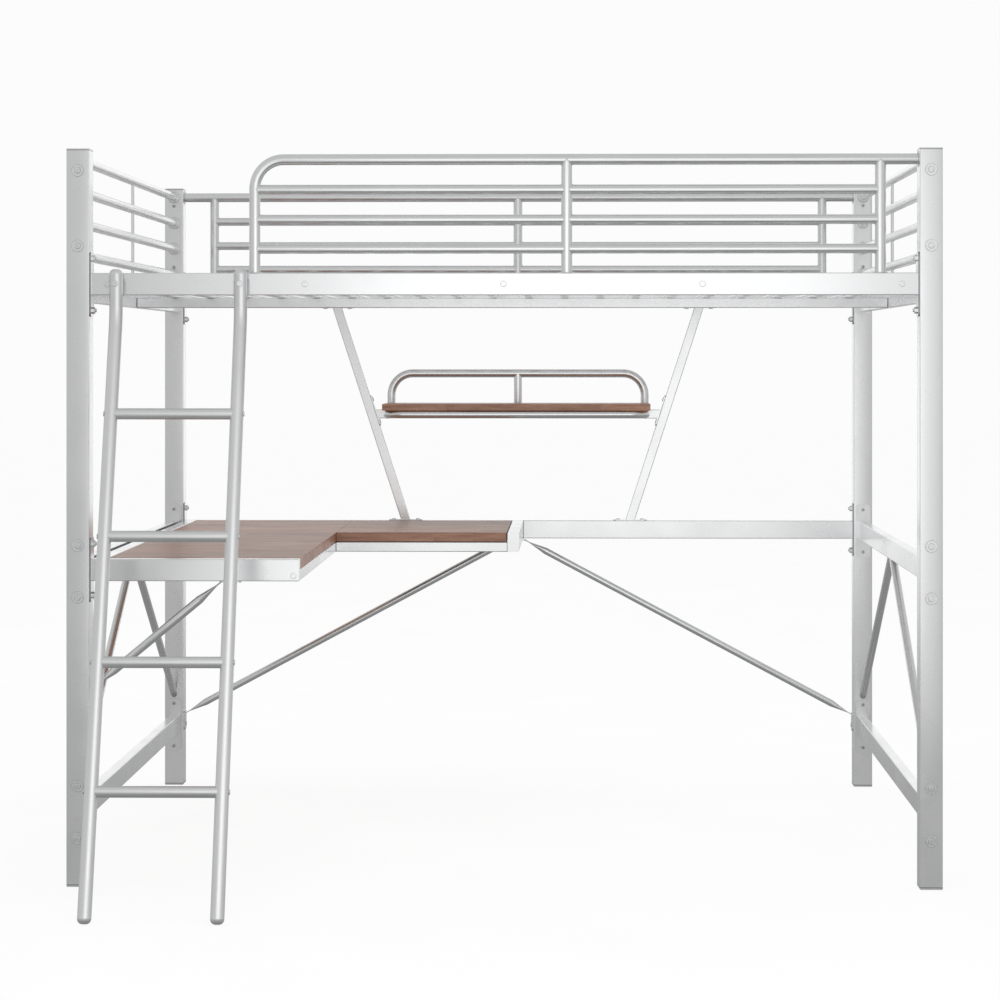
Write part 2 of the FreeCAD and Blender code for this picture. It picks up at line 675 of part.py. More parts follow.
def wing_brace():
    y = row_y(FRONT, POST / 2)
    top = DESK_RAIL_Z[0]
    foot = Vector(side_x(LEFT, POST + BRACE_FLAT / 2), y, WING_BRACE_FOOT_Z)
    head = Vector(WING_BRACE_HEAD_X, y, top - BRACE_FLAT / 2)
    tabs = [tab_on_post(LEFT, FRONT, WING_TAB_Z), tab_under_rail(WING_TAB_X, FRONT, top)]
    add("wing_brace", flat_ended_brace(foot, head, tabs))
    low_bolt = Vector(side_x(LEFT, POST + BRACE_FLAT), y, WING_TAB_Z[0] + TAB_BOLT_IN)
    high_bolt = Vector(WING_TAB_X[1] - TAB_BOLT_IN, y, top - BRACE_FLAT)
    button_bolt("bracket_bolts", low_bolt, AXIS_X, BOLT_BITE,
                ("wing_brace", "front_left_post"), head=SMALL_HEAD, shank=SMALL_BOLT)
    button_bolt("bracket_bolts", high_bolt, -AXIS_Z, BOLT_BITE,
                ("wing_brace", "wing_front_rail"), head=SMALL_HEAD, shank=SMALL_BOLT)


# ---------------------------------------------------------------- struts and shelf

STRUT_Z = (DESK_RAIL_Z[1] + PLATE, BED_RAIL_Z[0] - PLATE)
STRUT_SLOPE = (STRUT_HEAD_X - STRUT_FOOT_X) / (STRUT_Z[1] - STRUT_Z[0])
STRUT_LEAN = math.atan(STRUT_SLOPE)
STRUT_RUN = Vector(-math.sin(STRUT_LEAN), 0, math.cos(STRUT_LEAN))
STRUT_INWARD = Vector(math.cos(STRUT_LEAN), 0, math.sin(STRUT_LEAN))


def strut_x(z):
    """Distance of a strut's axis from the bed's middle plane at a height."""
    return STRUT_FOOT_X + (z - STRUT_Z[0]) * STRUT_SLOPE


def left_strut():
    def outline(width):
        half = width / 2 / math.cos(STRUT_LEAN)
        return [(-strut_x(STRUT_Z[0]) - half, STRUT_Z[0]), (-strut_x(STRUT_Z[0]) + half, STRUT_Z[0]),
                (-strut_x(STRUT_Z[1]) + half, STRUT_Z[1]), (-strut_x(STRUT_Z[1]) - half, STRUT_Z[1])]
    y = row_y(BACK, POST / 2)
    outer = round_along(prism(outline(SMALL_TUBE), about(y, SMALL_TUBE)), STRUT_RUN, TUBE_CORNER)
    bore = SMALL_TUBE - 2 * TUBE_WALL
    return outer.cut(prism(outline(bore), about(y, bore)))


def left_bracket():
    """Plate along the strut's inner face, for the end of the shelf's cross rail."""
    middle = Vector(-strut_x(BRACKET_Z), row_y(BACK, POST / 2), BRACKET_Z)
    bracket = plate((SMALL_TUBE / 2, SMALL_TUBE / 2 + PLATE), about(0, SMALL_TUBE), about(0, BRACKET_LONG),
                    AXIS_X, corner=BRACKET_CORNER)
    bracket.Placement = FreeCAD.Placement(middle, FreeCAD.Rotation(STRUT_INWARD, Vector(), STRUT_RUN, "ZXY"))
    return bracket


def strut_fixings(side, node):
    """End plates on the rails and their bolts, and the bolts of the shelf bracket."""
    y = row_y(BACK, POST / 2)
    levels = ((DESK_RAIL_Z[1], STRUT_Z[0], AXIS_Z, "desk_back_rail"),
              (BED_RAIL_Z[0], STRUT_Z[1], -AXIS_Z, "back_bed_rail"))
    for face, end, outward, rail in levels:
        x = side * strut_x(end)
        add("strut_plates",
            plate(about(x, STRUT_PLATE_LONG), about(y, STRUT_PLATE_WIDE), (face, end), AXIS_Z))
        for offset in (-STRUT_BOLT_OUT, STRUT_BOLT_OUT):
            button_bolt("bracket_bolts", Vector(x + offset, y, end), outward, BOLT_BITE,
                        ("strut_plates", rail), head=SMALL_HEAD, shank=SMALL_BOLT)
    inward = Vector(-side * STRUT_INWARD.x, 0, STRUT_INWARD.z)
    run = Vector(-side * STRUT_RUN.x, 0, STRUT_RUN.z)
    middle = Vector(side * strut_x(BRACKET_Z), y, BRACKET_Z)
    for offset in (-BRACKET_BOLT_OUT, BRACKET_BOLT_OUT):
        point = middle + inward * (SMALL_TUBE / 2 + PLATE) + run * offset
        button_bolt("bracket_bolts", point, inward, BOLT_BITE, ("strut_plates", node),
                    head=SMALL_HEAD, shank=SMALL_BOLT)


def struts():
    add("left_strut", left_strut())
    add("right_strut", mirrored(left_strut()))
    add("strut_plates", left_bracket(), mirrored(left_bracket()))
    strut_fixings(LEFT, "left_strut")
    strut_fixings(RIGHT, "right_strut")


def shelf_cross_rail():
    """Square tube between the two brackets, its ends cut to their slant."""
    y = row_y(BACK, POST / 2)

    def bracket_x(z):
        return strut_x(z) - (SMALL_TUBE / 2 + PLATE) / math.cos(STRUT_LEAN)

    def outline(low, high):
        return [(-bracket_x(low), low), (bracket_x(low), low),
                (bracket_x(high), high), (-bracket_x(high), high)]
    low, high = SHELF_RAIL_Z
    bore = SMALL_TUBE - 2 * TUBE_WALL
    outer = round_along(prism(outline(low, high), about(y, SMALL_TUBE)), AXIS_X, TUBE_CORNER)
    add("shelf_cross_rail", outer.cut(prism(outline(low + TUBE_WALL, high - TUBE_WALL), about(y, bore))))


def shelf():
    rail_y = row_y(BACK, POST / 2)
    rail_face = rail_y - SMALL_TUBE / 2
    front = rail_face - SHELF_DEEP
    tube_front = front + SHELF_TUBE / 2
    line = [Vector(-SHELF_LEG_X, rail_face, SHELF_TUBE_Z), Vector(-SHELF_LEG_X, tube_front, SHELF_TUBE_Z),
            Vector(SHELF_LEG_X, tube_front, SHELF_TUBE_Z), Vector(SHELF_LEG_X, rail_face, SHELF_TUBE_Z)]
    add("shelf_frame", bent_tube(line, SHELF_BEND, SHELF_TUBE))

    board_z = SHELF_TUBE_Z + SHELF_TUBE / 2
    board_x = SHELF_LEG_X + SHELF_TUBE / 2
    add("shelf_board", board((-board_x, board_x), (front, rail_face - BOARD_GAP),
                             (board_z, board_z + SHELF_BOARD_THICK)))
    for side in (LEFT, RIGHT):
        for y in (rail_face - SHELF_SCREW_INSET, tube_front + 1.5 * SHELF_BEND):
            board_screw(Vector(side * SHELF_LEG_X, y, SHELF_TUBE_Z - SHELF_TUBE / 2),
                        SHELF_TUBE + SCREW_BITE, ("shelf_frame", "shelf_board"))

    guard = [Vector(-SHELF_LEG_X, rail_y, SHELF_RAIL_Z[1]), Vector(-SHELF_LEG_X, rail_y, SHELF_GUARD_TOP_Z),
             Vector(SHELF_LEG_X, rail_y, SHELF_GUARD_TOP_Z), Vector(SHELF_LEG_X, rail_y, SHELF_RAIL_Z[1])]
    top = rod(guard[1], guard[2], SHELF_GUARD_TUBE)
    add("shelf_guard", bent_tube(guard, SHELF_GUARD_BEND, SHELF_GUARD_TUBE))
    upright = round_tube(Vector(0, rail_y, SHELF_RAIL_Z[1]), Vector(0, rail_y, SHELF_GUARD_TOP_Z),
                         SHELF_GUARD_TUBE)
    add("shelf_guard", upright.cut(top))


# ---------------------------------------------------------------- ladder

STILE_Y = FRONT_Y - STILE_STANDOFF
FOOT_Y = FRONT_Y - FOOT_OUT
STILE_DOWN = Vector(0, -math.sin(LADDER_RAKE), -math.cos(LADDER_RAKE))


def stile_line(x):
    foot = Vector(x, FOOT_Y, FOOT_END_Z) - STILE_DOWN * CAP_LONG
    return [Vector(x, STILE_Y, STILE_TOP_Z - CAP_LONG), Vector(x, STILE_Y, STILE_BEND_Z), foot]


def end_cap():
    """Domed cap drawn upright, its flat side on the tube's end and its plug below."""
    dome = Part.makeCylinder(STILE / 2, CAP_LONG)
    dome = dome.makeFillet(CAP_ROUND, [edge for edge in dome.Edges if edge.BoundBox.ZMin > CAP_LONG / 2])
    plug = Part.makeCylinder(STILE / 2 - TUBE_WALL, STILE_PLUG, Vector(0, 0, -STILE_PLUG))
    return dome.fuse(plug).removeSplitter()


def stile(node, x, outer_side):
    line = stile_line(x)
    add(node, bent_tube(line, STILE_BEND, STILE))
    add("ladder_end_caps", facing(end_cap(), line[0], AXIS_Z), facing(end_cap(), line[2], STILE_DOWN))

    saddle_front = STILE_Y + SADDLE_WRAP
    saddle = block(about(x, SADDLE_WIDE), (saddle_front, row_y(FRONT, (POST - RAIL_WIDE) / 2)), SADDLE_Z)
    add("ladder_saddles", round_along(saddle, AXIS_Y, SADDLE_CORNER).cut(bent_rod(line, STILE_BEND, STILE)))

    seat = Vector(x, STILE_Y - STILE / 2 + SEAT_DEEP, sum(BED_RAIL_Z) / 2)
    button_bolt("rail_bolts", seat, -AXIS_Y, STILE + STILE_BOLT_BITE,
                (node, "ladder_saddles", "front_bed_rail"))
    drill(node, seat, -AXIS_Y, 0.0, BUTTON_HEAD + SEAT_ROOM)
    for i in range(RUNG_COUNT):
        point = Vector(x + outer_side * (STILE / 2 - SEAT_DEEP), *rung_place(i))
        button_bolt("rung_bolts", point, AXIS_X * outer_side, STILE + BOLT_BITE, (node, "ladder_rungs"),
                    head=SMALL_HEAD, shank=SMALL_BOLT)
        drill(node, point, AXIS_X * outer_side, 0.0, SMALL_HEAD + SEAT_ROOM)


def rung_place(i):
    z = (i + 1) * RUNG_PITCH
    return STILE_Y - (STILE_BEND_Z - z) * math.tan(LADDER_RAKE), z


def rungs():
    """Tubes with a plugged length at each end, shaped to the stiles."""
    for i in range(RUNG_COUNT):
        left, right = (Vector(x, *rung_place(i)) for x in STILE_X)
        plugged = AXIS_X * (STILE / 2 + RUNG_PLUG)
        rung = rod(left, right, RUNG).cut(rod(left + plugged, right - plugged, RUNG - 2 * TUBE_WALL))
        for x in STILE_X:
            rung = rung.cut(bent_rod(stile_line(x), STILE_BEND, STILE))
        add("ladder_rungs", rung)


# ---------------------------------------------------------------- assembly

def build():
    for row in (FRONT, BACK):
        for side in (LEFT, RIGHT):
            post(row, side)
    plates()

    long_rail("front_bed_rail", FRONT)
    long_rail("back_bed_rail", BACK)
    slat_ledge(FRONT)
    slat_ledge(BACK)
    for side in (LEFT, RIGHT):
        end_rail("bed_end_rails", side, BED_END_RAIL_Z)
        end_rail("low_end_rails", side, LOW_RAIL_Z)
    centre_beam()
    slats()
    front_guard()
    back_guard()
    end_guard("left_end_guard", LEFT)
    end_guard("right_end_guard", RIGHT)

    desk_back_rail()
    end_rail("left_desk_end_rail", LEFT, DESK_RAIL_Z)
    end_rail("right_desk_end_rail", RIGHT, DESK_RAIL_Z)
    wing_frame()
    main_desk_frame()
    desktops()
    desk_cross_bars()

    v_brace("left_v_brace", LEFT)
    v_brace("right_v_brace", RIGHT)
    back_braces()
    wing_brace()
    struts()
    shelf_cross_rail()
    shelf()

    stile("ladder_left_stile", STILE_X[0], LEFT)
    stile("ladder_right_stile", STILE_X[1], RIGHT)
    rungs()


def export():
    for node, solids in parts.items():
        shape = Part.makeCompound(solids) if len(solids) > 1 else solids[0]
        holes = drills.get(node)
        if holes:
            shape = shape.cut(Part.makeCompound(holes))
        valid = shape.isValid() and all(solid.isClosed() for solid in shape.Solids)
        print(node, len(solids), len(shape.Solids), "valid" if valid else "NOT VALID")
        shape.exportStep("parts/" + node + ".step")


build()
export()
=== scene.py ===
import json
import math
import random

import bmesh
import bpy
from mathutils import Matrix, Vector


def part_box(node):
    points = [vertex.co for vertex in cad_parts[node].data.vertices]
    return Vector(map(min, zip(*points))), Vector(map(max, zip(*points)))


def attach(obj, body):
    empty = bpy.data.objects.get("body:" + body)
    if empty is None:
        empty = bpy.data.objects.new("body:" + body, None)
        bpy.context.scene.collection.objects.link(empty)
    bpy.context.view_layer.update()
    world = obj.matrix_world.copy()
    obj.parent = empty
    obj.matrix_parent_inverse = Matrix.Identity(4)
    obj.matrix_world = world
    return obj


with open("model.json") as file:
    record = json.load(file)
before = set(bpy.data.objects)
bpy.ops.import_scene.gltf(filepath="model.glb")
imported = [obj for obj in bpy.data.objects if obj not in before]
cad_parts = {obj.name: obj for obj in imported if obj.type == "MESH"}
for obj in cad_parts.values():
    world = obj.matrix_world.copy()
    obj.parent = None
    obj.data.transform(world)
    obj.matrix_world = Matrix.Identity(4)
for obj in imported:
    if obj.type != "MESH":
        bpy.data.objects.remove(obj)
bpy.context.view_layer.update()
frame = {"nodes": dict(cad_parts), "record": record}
random.seed(7)

# Reference planes of the bed, in metres, read from the frame
POST_LOW, POST_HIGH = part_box("front_left_post")
FRONT_Y = POST_LOW[1]
BACK_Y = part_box("back_right_post")[1][1]
MID_Y = (FRONT_Y + BACK_Y) / 2

# Posts, whose faces are slightly crowned; the axes are as far from the middle on both sides
POST_WIDE = POST_HIGH[0] - POST_LOW[0]
POST_AXIS_X = POST_WIDE / 2 - POST_HIGH[0]
POST_AXIS_Y = (BACK_Y - FRONT_Y - POST_WIDE) / 2
CROWN = 1.6                 # fall of a face, in metres per square metre from its middle

# Guards
UP, EAST, NORTH = Vector((0, 0, 1)), Vector((1, 0, 0)), Vector((0, 1, 0))
FRONT_LEG_X = -0.5655
FRONT_UPRIGHT_X = (FRONT_LEG_X, 0.143, 0.8525)
BACK_UPRIGHT_X = (-0.8535, 0.0, 0.8525)
GUARD_TOP_Z = 1.6485
GUARD_BAR_Z = (1.446, 1.5125, 1.5805)
END_BAR_Z = (1.4315, 1.504, 1.576, 1.648)
GUARD_TUBE = 0.0125         # radius
GUARD_BAR = 0.011           # radius
PLATE_FACE = 0.0545         # from the posts' outer faces to the end plates' inner faces

# Weld beads
BEAD = 0.0013               # radius
BEAD_STEPS = 48             # along a bead
BEAD_SIDES = 8              # round a bead
RIPPLE = 0.16               # swell of the ripples, as a share of the radius
RIPPLE_TURN = 2.1           # radians of ripple from one step to the next
RIPPLE_NOISE = 0.06

# Silver powder coat; scales of noise are per metre, depths in metres
METAL = (0.80, 0.805, 0.81)
METALLIC = 0.95
STEEL_ROUGH = (0.22, 0.28)
POST_ROUGH = (0.24, 0.30)
LADDER_ROUGH = (0.36, 0.42)
CAP_METALLIC, CAP_ROUGH = 0.6, (0.32, 0.42)
COAT_SPREAD = (0.35, 0.65)  # noise values between which the coat's tones change over
FLAKE_SCALE, FLAKE_SHARE = 2600.0, 0.6
CLOUD_SCALE, CLOUD_SHARE = 9.0, 0.4
COAT_DARK, COAT_LIGHT = 0.95, 1.04
PEEL_SCALE, PEEL_DEPTH, PEEL_STRENGTH = 300.0, 0.0001, 0.2

# Painted shade: dark bands where parts meet, on plates' edges and on bolt heads' rims; the same dark tone
# marks the bolts' threads
SHADE_LINE_WIDTH = 0.002                # width of a painted shade band
SHADE_AND_THREAD_TONE = (0.16, 0.16, 0.165)
WOOD_SHADE_TONE = (0.050, 0.024, 0.016)
JOINT_SHADE_STRENGTH = 0.8
EDGE_SHADE_STRENGTH = 0.75
EDGE_FACING = (0.55, 0.90)  # a surface that faces its axis less than this is an edge, which gets painted shade
THREAD_STRENGTH = 0.6
X, Y, Z = 0, 1, 2
LOW, HIGH = 0, 1

# Zinc and plastic
ZINC_DARK, ZINC_LIGHT = (0.72, 0.725, 0.73), (0.84, 0.845, 0.85)
ZINC_METALLIC, ZINC_ROUGH = 0.9, (0.20, 0.30)
ZINC_CLOUD_SCALE = 160.0
TURNING_SCALE, TURNING_DEPTH, TURNING_STRENGTH = 3000.0, 0.00005, 0.3
SMALL_PART_SPREAD = (0.3, 0.7)
PLASTIC = (0.42, 0.43, 0.44)
PLASTIC_DARK = 0.9
PLASTIC_ROUGH = (0.45 * 0.85, 0.45 * 1.15)
PLASTIC_CLOUD_SCALE = 60.0
SPARK_SCALE, SPARK_DEPTH, SPARK_STRENGTH = 2200.0, 0.00008, 0.4

# Walnut
STAVE_LONG, STAVE_WIDE = 0.42, 0.045
ROW_SLIDE, ROW_REACH = 0.618, 3.0   # each row slides along by a share of this many staves
STAVE_JUMP = (3.0, 3.0, 3.0)        # how far apart two staves' grain is taken
STREAK_STRETCH, STREAK_SCALE, STREAK_ROUGH = (2.2, 26.0, 26.0), 4.0, 0.62
PORE_STRETCH, PORE_SCALE, PORE_ROUGH = (9.0, 160.0, 160.0), 6.0, 0.7
GRAIN_TONES = [(0.25, (0.190, 0.090, 0.056)), (0.45, (0.280, 0.140, 0.090)),
               (0.60, (0.350, 0.185, 0.120)), (0.80, (0.430, 0.245, 0.165))]
STAVE_TINTS = [(0.0, (0.80, 0.77, 0.75)), (0.5, (0.98, 0.97, 0.96)), (1.0, (1.16, 1.14, 1.12))]
PORE_TONE = (0.130, 0.060, 0.038)
PORE_SPREAD, PORE_COVER = (0.50, 0.72), 0.55
WOOD_ROUGH = (0.46, 0.34)
PORE_DEPTH, PORE_STRENGTH = 0.00012, 0.25

# Stage
WHITE = 0.972               # background
WALL_TONES = [(0.0, 0.20), (0.25, 0.28), (0.42, 0.39), (0.485, 0.64), (0.65, 0.64), (1.0, 0.60)]
BACK_TONE = 1.12
BACK_NORTH = [(0.75, 0.0), (0.92, 1.0)]
BACK_HEIGHT = [(0.442, 0.0), (0.467, 1.0), (0.62, 1.0), (0.75, 0.0)]
FLOOR_HALF = 40.0
FLOOR_DROP = 0.0005         # below the feet
FLOOR_TONES = (0.955, 0.965)
FLOOR_CLOUD_SCALE = 3.0
FLOOR_GLOW = 1.06
FLOOR_MATT_SHARE = 0.12

# Lights: the cards stand in front of the bed and face it
CARD_Y = FRONT_Y - 1.66
CARD_AT = (0.22, CARD_Y, 1.06)
CARD_SIZE, CARD_POWER = (1.5, 1.4), 4.9
HALO_SIZE, HALO_POWER = (2.4, 1.8), 4.4
LOW_CARD_AT = (-0.55, CARD_Y, 0.46)
LOW_CARD_SIZE, LOW_CARD_POWER = (0.7, 0.6), 0.42
FILL_POWER = 6.0
TOP_AT, TOP_AIM = (0.3, MID_Y + 0.4, 5.2), (0.0, MID_Y, 0.9)
TOP_SIZE, TOP_POWER = (3.5, 3.0), 60.0

# Camera: level, long lens, turned a little to the left, with a shifted frame
CAMERA_PLACE = (0.1685, MID_Y - 6.470, 1.2008)
CAMERA_YAW = 0.0170
CAMERA_LENS = 91.79
CAMERA_SENSOR = 36.0
CAMERA_SHIFT = (-0.0346, -0.1432)
CAMERA_REACH = 200.0


# ---------------------------------------------------------------- node helpers

def grey(value):
    return (value,) * 3


class Nodes:
    """Short calls to build a material's or world's node tree."""

    def __init__(self, tree):
        self.tree = tree
        tree.nodes.clear()

    def add(self, kind, **settings):
        node = self.tree.nodes.new(kind)
        for name, value in settings.items():
            if name in node.inputs:
                node.inputs[name].default_value = value
            else:
                setattr(node, name, value)
        return node

    def link(self, source, target):
        self.tree.links.new(source, target)

    def math(self, operation, first, second=0.0):
        node = self.add("ShaderNodeMath", operation=operation)
        for socket, value in zip(node.inputs, (first, second)):
            if isinstance(value, (int, float)):
                socket.default_value = value
            else:
                self.link(value, socket)
        return node.outputs[0]

    def ramp(self, factor, stops):
        node = self.add("ShaderNodeValToRGB")
        elements = node.color_ramp.elements
        while len(elements) < len(stops):
            elements.new(0.5)
        for element, (place, colour) in zip(elements, stops):
            element.position = place
            element.color = tuple(colour) + (1.0,)
        self.link(factor, node.inputs[0])
        return node.outputs[0]

    def fade(self, factor, between, low, high):
        """Colour low up to the first value of a pair, and high from the second."""
        return self.ramp(factor, [(between[0], low), (between[1], high)])

    def mix(self, factor, first, second, blend="MIX"):
        node = self.add("ShaderNodeMix", data_type="RGBA", blend_type=blend)
        factor_socket, first_socket, second_socket = node.inputs[0], node.inputs[6], node.inputs[7]
        for socket, value in ((factor_socket, factor), (first_socket, first), (second_socket, second)):
            if isinstance(value, (int, float)):
                socket.default_value = value
            elif isinstance(value, tuple):
                socket.default_value = value + (1.0,)
            else:
                self.link(value, socket)
        return node.outputs[2]

    def place(self):
        """Object coordinates, in metres."""
        return self.add("ShaderNodeTexCoord").outputs["Object"]

    def split(self, vector):
        node = self.add("ShaderNodeSeparateXYZ")
        self.link(vector, node.inputs[0])
        return node.outputs

    def stretch(self, vector, scale):
        node = self.add("ShaderNodeMapping")
        node.inputs["Scale"].default_value = scale
        self.link(vector, node.inputs[0])
        return node.outputs[0]

    def noise(self, vector, scale, detail=2.0, roughness=0.5):
        node = self.add("ShaderNodeTexNoise", Scale=scale, Detail=detail, Roughness=roughness)
        self.link(vector, node.inputs["Vector"])
        return node.outputs["Fac"]

    def bump(self, height, distance, strength=1.0, normal=None):
        node = self.add("ShaderNodeBump", Distance=distance, Strength=strength)
        self.link(height, node.inputs["Height"])
        if normal:
            self.link(normal, node.inputs["Normal"])
        return node.outputs[0]


def new_material(name):
    material = bpy.data.materials.new(name)
    material.use_nodes = True
    nodes = Nodes(material.node_tree)
    shader = nodes.add("ShaderNodeBsdfPrincipled")
    output = nodes.add("ShaderNodeOutputMaterial")
    nodes.link(shader.outputs[0], output.inputs[0])
    return material, nodes, shader


# ---------------------------------------------------------------- materials

def silver_paint(name, metallic, rough, joints=(), front_of=None, edge_shade_axis=None, crowned=False):
    """Satin silver powder coat: fine metal flake, orange peel and slow tone changes."""
    material, nodes, shader = new_material(name)
    place = nodes.place()
    flake = nodes.noise(place, FLAKE_SCALE, detail=1.0)
    cloud = nodes.noise(place, CLOUD_SCALE, detail=3.0)
    dark = tuple(COAT_DARK * c for c in METAL)
    light = tuple(COAT_LIGHT * c for c in METAL)
    flakes = nodes.math("MULTIPLY", flake, FLAKE_SHARE)
    clouds = nodes.math("MULTIPLY", cloud, CLOUD_SHARE)
    tone = nodes.fade(nodes.math("ADD", flakes, clouds), COAT_SPREAD, dark, light)
    # painted shade: dark bands where the node meets its neighbours
    if joints:
        tone = nodes.mix(painted_joint_shade(nodes, place, joints, front_of), tone, SHADE_AND_THREAD_TONE)
    # painted shade on the plate's edges
    if edge_shade_axis is not None:
        tone = nodes.mix(painted_edge_shade(nodes, edge_shade_axis), tone, SHADE_AND_THREAD_TONE)
    nodes.link(tone, shader.inputs["Base Color"])
    shader.inputs["Metallic"].default_value = metallic
    nodes.link(nodes.fade(cloud, COAT_SPREAD, *map(grey, rough)), shader.inputs["Roughness"])
    peel = nodes.noise(place, PEEL_SCALE)
    normal = nodes.bump(post_crown(nodes, place), 1.0) if crowned else None
    nodes.link(nodes.bump(peel, PEEL_DEPTH, PEEL_STRENGTH, normal), shader.inputs["Normal"])
    return material


def painted_joint_shade(nodes, place, joints, front_of=None):
    """Painted shade across a node in thin dark bands, each at a place on an axis, where it meets its
    neighbour.

    With front_of they are only on the surfaces in front of that Y."""
    along = nodes.split(place)
    shade_lines = 0.0
    for axis, spot in joints:
        away = nodes.math("ABSOLUTE", nodes.math("SUBTRACT", along[axis], spot))
        shade_lines = nodes.math("MAXIMUM", nodes.math("LESS_THAN", away, SHADE_LINE_WIDTH / 2), shade_lines)
    if front_of is not None:
        shade_lines = nodes.math("MULTIPLY", shade_lines, nodes.math("LESS_THAN", along[Y], front_of))
    return nodes.math("MULTIPLY", shade_lines, JOINT_SHADE_STRENGTH)


def painted_edge_shade(nodes, axis):
    """Painted shade on the surfaces that face away from an axis: a plate's edges, a bolt head's rims."""
    geometry = nodes.add("ShaderNodeNewGeometry")
    facing = nodes.math("ABSOLUTE", nodes.split(geometry.outputs["True Normal"])[axis])
    return nodes.fade(facing, EDGE_FACING, grey(EDGE_SHADE_STRENGTH), grey(0.0))


def post_crown(nodes, place):
    """Height of a post's faces over flat ones: highest along the middle of each face."""
    x, y, _ = nodes.split(place)
    across = nodes.math("SUBTRACT", nodes.math("ABSOLUTE", x), POST_AXIS_X)
    from_middle = nodes.math("ABSOLUTE", nodes.math("SUBTRACT", y, MID_Y))
    deep = nodes.math("SUBTRACT", from_middle, POST_AXIS_Y)
    across_square = nodes.math("MULTIPLY", across, across)
    deep_square = nodes.math("MULTIPLY", deep, deep)
    return nodes.math("MULTIPLY", nodes.math("ADD", across_square, deep_square), -CROWN)


def zinc(name, shaded_head_axis=None):
    """Bright zinc with fine turning marks; a bolt with a head axis has painted shade on its rims and a
    darker thread.
    """
    material, nodes, shader = new_material(name)
    place = nodes.place()
    cloud = nodes.noise(place, ZINC_CLOUD_SCALE, detail=4.0)
    tone = nodes.fade(cloud, SMALL_PART_SPREAD, ZINC_DARK, ZINC_LIGHT)
    if shaded_head_axis is not None:
        # painted shade on the head's rims; the threads take the same dark tone
        tone = nodes.mix(painted_edge_shade(nodes, shaded_head_axis), tone, SHADE_AND_THREAD_TONE)
        tone = nodes.mix(between_posts(nodes, place), tone, SHADE_AND_THREAD_TONE)
    nodes.link(tone, shader.inputs["Base Color"])
    shader.inputs["Metallic"].default_value = ZINC_METALLIC
    rough = nodes.fade(cloud, SMALL_PART_SPREAD, *map(grey, ZINC_ROUGH))
    nodes.link(rough, shader.inputs["Roughness"])
    marks = nodes.noise(place, TURNING_SCALE, detail=1.0)
    nodes.link(nodes.bump(marks, TURNING_DEPTH, TURNING_STRENGTH), shader.inputs["Normal"])
    return material


def between_posts(nodes, place):
    """Between the front and the back posts' inner faces, where the post bolts' threads come out."""
    from_middle = nodes.math("ABSOLUTE", nodes.math("SUBTRACT", nodes.split(place)[Y], MID_Y))
    between = nodes.math("LESS_THAN", from_middle, POST_AXIS_Y - POST_WIDE / 2)
    return nodes.math("MULTIPLY", between, THREAD_STRENGTH)


def moulded_plastic(name):
    """Injection-moulded plastic with a fine spark texture."""
    material, nodes, shader = new_material(name)
    place = nodes.place()
    cloud = nodes.noise(place, PLASTIC_CLOUD_SCALE, detail=3.0)
    dark = tuple(PLASTIC_DARK * c for c in PLASTIC)
    nodes.link(nodes.fade(cloud, SMALL_PART_SPREAD, dark, PLASTIC), shader.inputs["Base Color"])
    rough = nodes.fade(cloud, SMALL_PART_SPREAD, *map(grey, PLASTIC_ROUGH))
    nodes.link(rough, shader.inputs["Roughness"])
    sparks = nodes.noise(place, SPARK_SCALE)
    nodes.link(nodes.bump(sparks, SPARK_DEPTH, SPARK_STRENGTH), shader.inputs["Normal"])
    return material


def stave_of(nodes, place):
    """Random colour and value of the stave that a point is on; staves run along X in shifted rows."""
    x, y, z = nodes.split(place)
    row = nodes.math("FLOOR", nodes.math("DIVIDE", nodes.math("ADD", y, z), STAVE_WIDE))
    share = nodes.math("FRACT", nodes.math("MULTIPLY", row, ROW_SLIDE))
    slide = nodes.math("MULTIPLY", share, STAVE_LONG * ROW_REACH)
    column = nodes.math("FLOOR", nodes.math("DIVIDE", nodes.math("ADD", x, slide), STAVE_LONG))
    cell = nodes.add("ShaderNodeCombineXYZ")
    nodes.link(row, cell.inputs[0])
    nodes.link(column, cell.inputs[1])
    pick = nodes.add("ShaderNodeTexWhiteNoise", noise_dimensions="2D")
    nodes.link(cell.outputs[0], pick.inputs["Vector"])
    return pick.outputs["Color"], pick.outputs["Value"]


def walnut(name, joints=()):
    """Walnut laminate of short staves, with streaked grain, pores and a satin seal."""
    material, nodes, shader = new_material(name)
    place = nodes.place()
    stave_colour, stave_value = stave_of(nodes, place)
    shifted = nodes.add("ShaderNodeVectorMath", operation="MULTIPLY_ADD")
    nodes.link(stave_colour, shifted.inputs[0])
    shifted.inputs[1].default_value = STAVE_JUMP
    nodes.link(place, shifted.inputs[2])
    grain_place = shifted.outputs[0]
    streak_place = nodes.stretch(grain_place, STREAK_STRETCH)
    streak = nodes.noise(streak_place, STREAK_SCALE, detail=6.0, roughness=STREAK_ROUGH)
    pore_place = nodes.stretch(grain_place, PORE_STRETCH)
    pores = nodes.noise(pore_place, PORE_SCALE, detail=4.0, roughness=PORE_ROUGH)

    tint = nodes.ramp(stave_value, STAVE_TINTS)
    tone = nodes.mix(1.0, nodes.ramp(streak, GRAIN_TONES), tint, blend="MULTIPLY")
    pored = nodes.fade(pores, PORE_SPREAD, grey(0.0), grey(PORE_COVER))
    tone = nodes.mix(pored, tone, PORE_TONE)
    # painted shade: dark bands at the given places on the board
    if joints:
        tone = nodes.mix(painted_joint_shade(nodes, place, joints), tone, WOOD_SHADE_TONE)
    nodes.link(tone, shader.inputs["Base Color"])
    rough = nodes.fade(streak, SMALL_PART_SPREAD, *map(grey, WOOD_ROUGH))
    nodes.link(rough, shader.inputs["Roughness"])
    nodes.link(nodes.bump(pores, PORE_DEPTH, PORE_STRENGTH), shader.inputs["Normal"])
    return material


